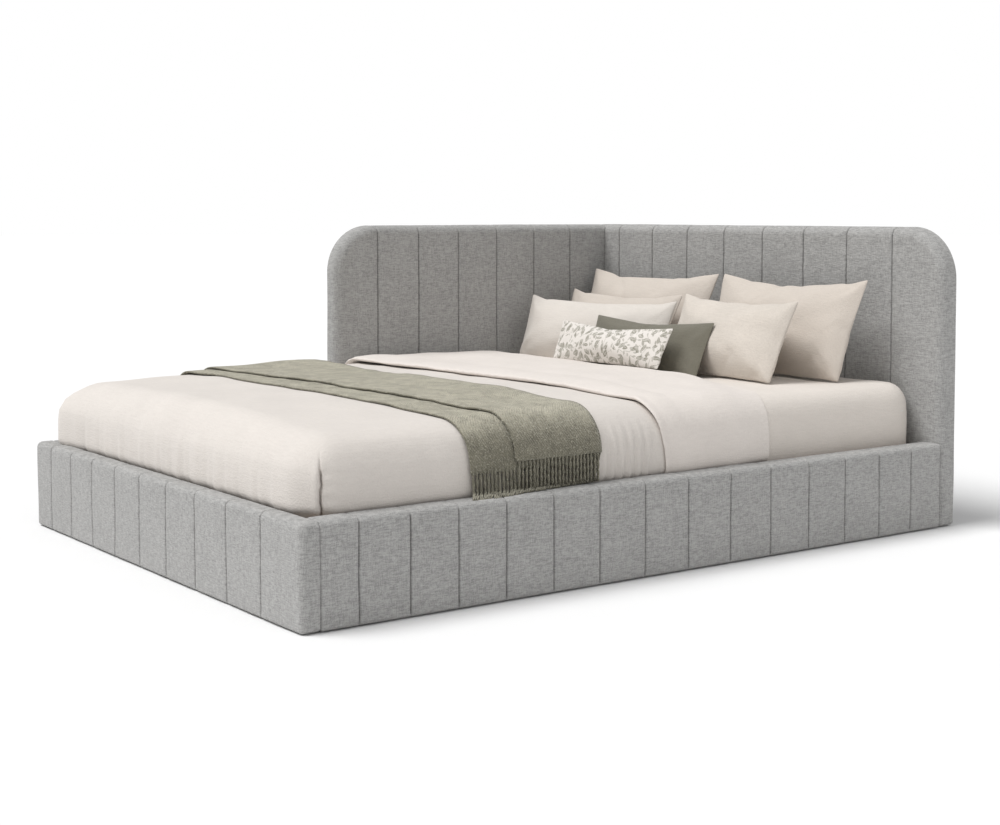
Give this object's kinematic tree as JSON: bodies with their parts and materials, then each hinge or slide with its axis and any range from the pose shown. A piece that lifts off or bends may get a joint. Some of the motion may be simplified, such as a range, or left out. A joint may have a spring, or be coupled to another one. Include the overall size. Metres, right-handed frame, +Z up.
{
  "type": "upholstered corner platform bed",
  "caption": "Low upholstered bed with channelled rails, a tall headboard and a tall side panel that form a corner, with slatted base, mattress, bedding, throw and pillows.",
  "frame": {"origin": "on the floor under the middle of the footprint", "axes": "+Y towards the headboard, +X towards the open long side, +Z up; the tall side panel is at -X"},
  "size_m": [1.575, 2.15, 0.865],
  "materials": {
    "zinc_steel": "zinc plated",
    "timber": "planed softwood",
    "cushion_print": "cotton with a scattered leaf print",
    "cushion_sage": "soft cotton",
    "duvet_cotton": "washed cotton",
    "board": "sheet board",
    "upholstery": "woven melange linen-look upholstery, light grey",
    "sheet_cotton": "washed cotton",
    "felt": "pressed felt",
    "lining": "plain woven lining cloth",
    "leg_plastic": "matt moulded",
    "mattress_ticking": "knitted ticking",
    "pillow_beige": "washed linen",
    "pillow_cream": "washed linen",
    "tape": "woven webbing",
    "slat_wood": "planed pine slats",
    "throw_wool": "brushed wool twill"
  },
  "bodies": {
    "root": {"beam_hanger_foot": "zinc_steel", "beam_hanger_head": "zinc_steel", "bracket_bolts": "zinc_steel", "bracket_foot_far": "zinc_steel", "bracket_foot_near": "zinc_steel", "bracket_head_far": "zinc_steel", "bracket_head_near": "zinc_steel", "centre_beam": "timber", "centre_leg_foot": "timber", "centre_leg_head": "timber", "cushion_leaf_print": "cushion_print", "cushion_plain": "cushion_sage", "duvet": "duvet_cotton", "far_ledger": "timber", "far_rail_board": "board", "far_rail_cover": "upholstery", "fitted_sheet": "sheet_cotton", "foot_rail_board": "board", "foot_rail_cover": "upholstery", "glides_far_side": "felt", "glides_foot_rail": "felt", "glides_headboard": "felt", "glides_near_rail": "felt", "headboard_back_lining": "lining", "headboard_bottom_timber": "timber", "headboard_corner_block": "timber", "headboard_cover": "upholstery", "headboard_face_board": "board", "headboard_middle_timber": "timber", "headboard_post_inner": "timber", "headboard_post_outer": "timber", "headboard_top_timber": "timber", "leg_pad_foot": "leg_plastic", "leg_pad_head": "leg_plastic", "mattress": "mattress_ticking", "near_ledger": "timber", "near_rail_board": "board", "near_rail_cover": "upholstery", "panel_bolts": "zinc_steel", "pillow_back_left": "pillow_beige", "pillow_back_right": "pillow_beige", "pillow_front_left": "pillow_cream", "pillow_front_right": "pillow_cream", "pillow_middle_left": "pillow_beige", "side_panel_back_lining": "lining", "side_panel_bottom_timber": "timber", "side_panel_corner_block": "timber", "side_panel_cover": "upholstery", "side_panel_face_board": "board", "side_panel_middle_timber": "timber", "side_panel_post_inner": "timber", "side_panel_post_outer": "timber", "side_panel_top_timber": "timber", "slat_tapes": "tape", "slats": "slat_wood", "splice_plate": "zinc_steel", "throw_lower": "throw_wool", "throw_upper": "throw_wool", "turned_down_band": "duvet_cotton"}
  },
  "joints": []
}
